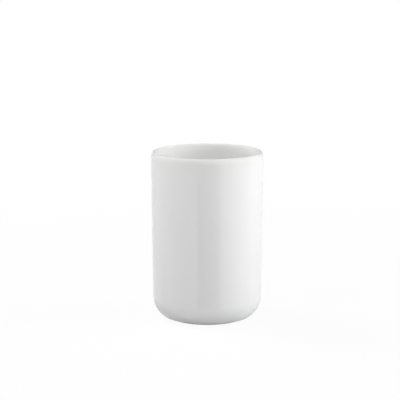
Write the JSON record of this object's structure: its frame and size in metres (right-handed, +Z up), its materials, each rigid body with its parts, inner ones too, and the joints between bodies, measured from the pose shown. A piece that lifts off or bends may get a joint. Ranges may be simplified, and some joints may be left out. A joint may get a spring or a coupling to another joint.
{
  "type": "bathroom tumbler",
  "caption": "Straight-sided round bathroom tumbler in white glazed porcelain, with a rounded lip, a deep round corner at the base and a bare foot ring.",
  "frame": {"origin": "centre of the foot, on the surface that the tumbler stands on", "axes": "+Z up along the tumbler's axis of revolution, X and Y across it and alike"},
  "size_m": [0.07, 0.07, 0.105],
  "materials": {
    "bare_porcelain": "matte",
    "glaze": "gloss"
  },
  "bodies": {
    "root": {"porcelain_body": "bare_porcelain", "glaze_coat": "glaze", "underside_glaze": "glaze"}
  },
  "joints": []
}
